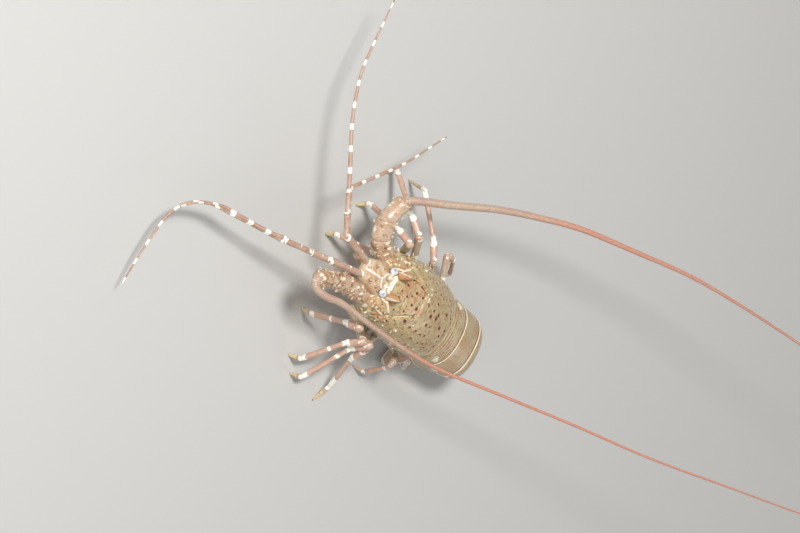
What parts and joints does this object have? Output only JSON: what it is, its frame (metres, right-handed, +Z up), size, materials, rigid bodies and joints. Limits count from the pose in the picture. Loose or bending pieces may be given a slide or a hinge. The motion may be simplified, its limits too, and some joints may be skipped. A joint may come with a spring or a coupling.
{
  "type": "spiny lobster model",
  "caption": "Still, life-size spiny lobster at rest: domed thorny shell, frontal horns, banded walking legs, tail curled under the body and long swept-back feelers.",
  "frame": {"origin": "centre of the bounding box's underside, on the floor the claws and the tail fan rest on", "axes": "+X from the tail toward the head, +Y toward the animal's left, +Z up"},
  "size_m": [0.6604, 0.2834, 0.2172],
  "materials": {
    "carapace_shell": "khaki tan shell with red-brown spots, cream patches and pale lines",
    "under_shell": "pale cream shell",
    "plate_shell": "pinkish tan shell with white lines",
    "horn_shell": "orange-brown shell with cream edges",
    "eye": "wet-looking dark eye",
    "feeler_base_shell": "tan shell with brown spots and cream thorns",
    "whip_shell": "pinkish tan, finely ringed",
    "small_feeler_shell": "pink-brown and white bands",
    "leg_shell": "salmon shell with cream bands and yellow claws",
    "tail_shell": "tan shell with fine pink and brown lines across",
    "fan_shell": "pinkish tan shell with pale edges"
  },
  "bodies": {
    "root": {"carapace": "carapace_shell", "breast_plate": "under_shell", "feeler_plate": "plate_shell", "horn_left": "horn_shell", "eye_left": "eye", "eyestalk_left": "under_shell", "feeler_left_base_1": "feeler_base_shell", "feeler_left_base_2": "feeler_base_shell", "feeler_left_base_3": "feeler_base_shell", "feeler_left_whip_1": "whip_shell", "feeler_left_whip_2": "whip_shell", "feeler_left_whip_3": "whip_shell", "small_feeler_left_base": "small_feeler_shell", "small_feeler_left_outer": "small_feeler_shell", "small_feeler_left_inner": "small_feeler_shell", "jaw_leg_left": "leg_shell", "leg_left_1_upper": "leg_shell", "leg_left_1_lower": "leg_shell", "leg_left_2_upper": "leg_shell", "leg_left_2_lower": "leg_shell", "leg_left_3_upper": "leg_shell", "leg_left_3_lower": "leg_shell", "leg_left_4_upper": "leg_shell", "leg_left_4_lower": "leg_shell", "leg_left_5_upper": "leg_shell", "leg_left_5_lower": "leg_shell", "horn_right": "horn_shell", "eye_right": "eye", "eyestalk_right": "under_shell", "feeler_right_base_1": "feeler_base_shell", "feeler_right_base_2": "feeler_base_shell", "feeler_right_base_3": "feeler_base_shell", "feeler_right_whip_1": "whip_shell", "feeler_right_whip_2": "whip_shell", "feeler_right_whip_3": "whip_shell", "small_feeler_right_base": "small_feeler_shell", "small_feeler_right_outer": "small_feeler_shell", "small_feeler_right_inner": "small_feeler_shell", "jaw_leg_right": "leg_shell", "leg_right_1_upper": "leg_shell", "leg_right_1_lower": "leg_shell", "leg_right_2_upper": "leg_shell", "leg_right_2_lower": "leg_shell", "leg_right_3_upper": "leg_shell", "leg_right_3_lower": "leg_shell", "leg_right_4_upper": "leg_shell", "leg_right_4_lower": "leg_shell", "leg_right_5_upper": "leg_shell", "leg_right_5_lower": "leg_shell", "tail_1": "tail_shell", "tail_2": "tail_shell", "tail_3": "tail_shell", "tail_4": "tail_shell", "tail_5": "tail_shell", "tail_6": "tail_shell", "telson": "fan_shell", "fan_left_outer": "fan_shell", "fan_left_inner": "fan_shell", "fan_right_outer": "fan_shell", "fan_right_inner": "fan_shell"}
  },
  "joints": []
}
